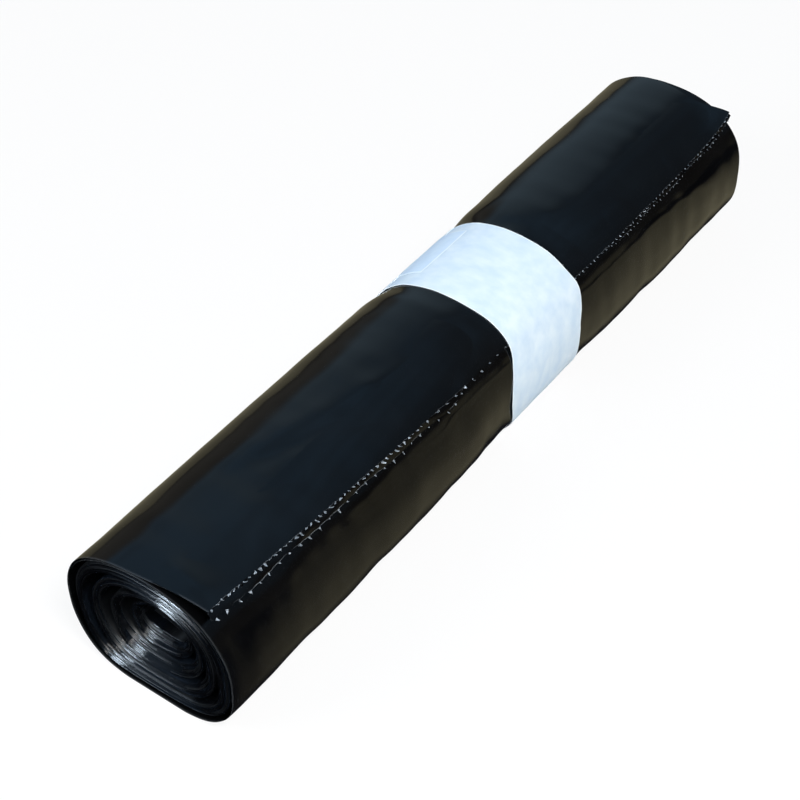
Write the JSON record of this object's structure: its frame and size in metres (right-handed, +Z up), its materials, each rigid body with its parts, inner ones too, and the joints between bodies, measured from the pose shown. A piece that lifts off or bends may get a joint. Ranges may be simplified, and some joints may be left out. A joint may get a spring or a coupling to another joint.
{
  "type": "bin bag roll",
  "caption": "Coreless roll of folded film bags with a loose torn-off end, held by a paper band that a patch of tape closes.",
  "frame": {"origin": "middle of the bounding box on the surface that the roll lies on", "axes": "+X along the roll, away from the end whose inner turns sink in; +Z up; the loose end of the outer turn faces -Y"},
  "size_m": [0.36, 0.0751, 0.0636],
  "materials": {
    "film": "glossy black polyethylene film, softly wrinkled",
    "paper": "matt pale blue paper",
    "tape": "smooth pale blue paper tape"
  },
  "bodies": {
    "root": {"bag_roll": "film", "paper_band": "paper", "seam_tape": "tape"}
  },
  "joints": []
}
